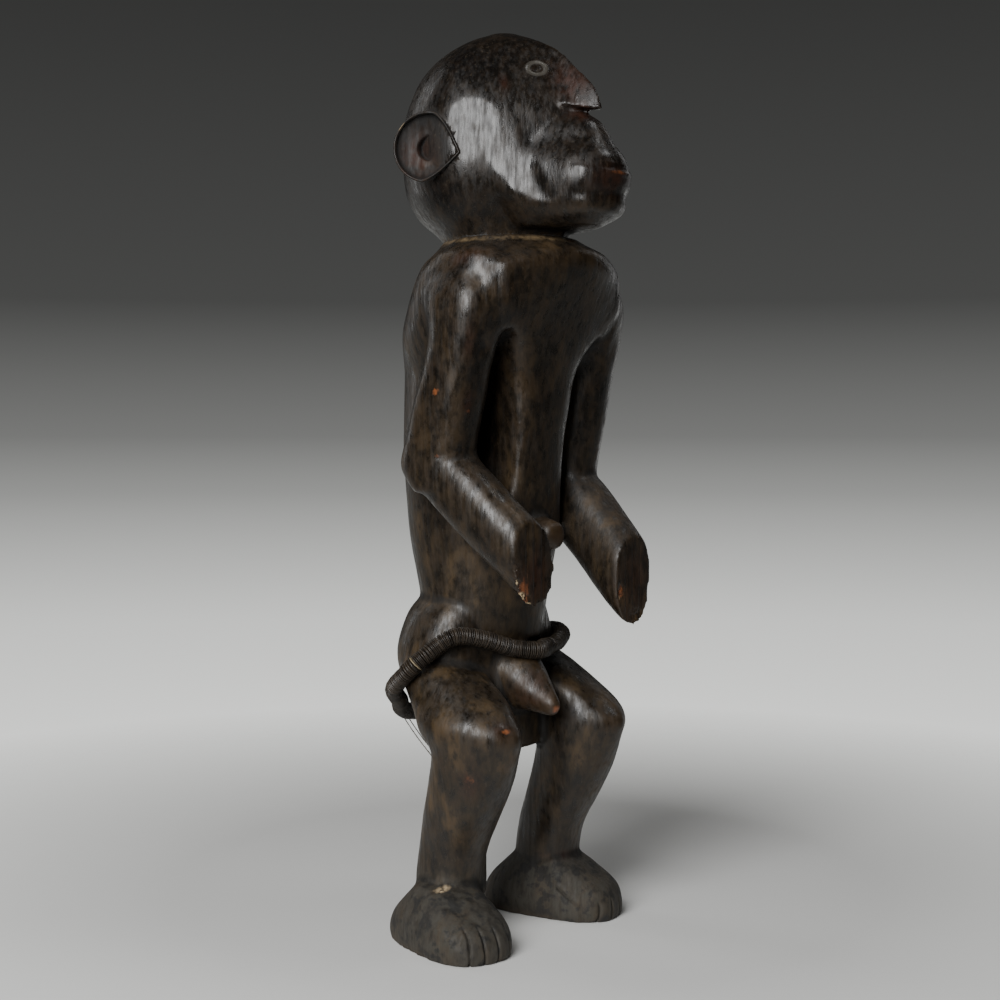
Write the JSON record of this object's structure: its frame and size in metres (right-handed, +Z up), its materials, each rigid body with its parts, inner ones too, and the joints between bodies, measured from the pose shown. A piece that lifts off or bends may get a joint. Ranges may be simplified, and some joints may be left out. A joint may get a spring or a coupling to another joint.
{
  "type": "carved wooden monkey figure",
  "caption": "Standing monkey carved from one block of dark wood, hands held forward, with a string of disc beads slung round its hips.",
  "frame": {"origin": "bottom centre of the figure's box, on the surface it stands on", "axes": "+Z up along the standing figure, -Y the way it faces, +X its left"},
  "size_m": [0.2004, 0.2002, 0.688],
  "materials": {
    "figure": "dark brown-black patina, glossy where handled, worn red-brown on the edges",
    "bead_belt": "small dark disc beads with worn, slightly shiny rims; real ones are shell or nut",
    "string_end_outer": "thin grey plant-fibre string",
    "string_end_inner": "thin grey plant-fibre string"
  },
  "bodies": {
    "root": {"figure": "figure", "bead_belt": "bead_belt", "string_end_outer": "string_end_outer", "string_end_inner": "string_end_inner"}
  },
  "joints": []
}
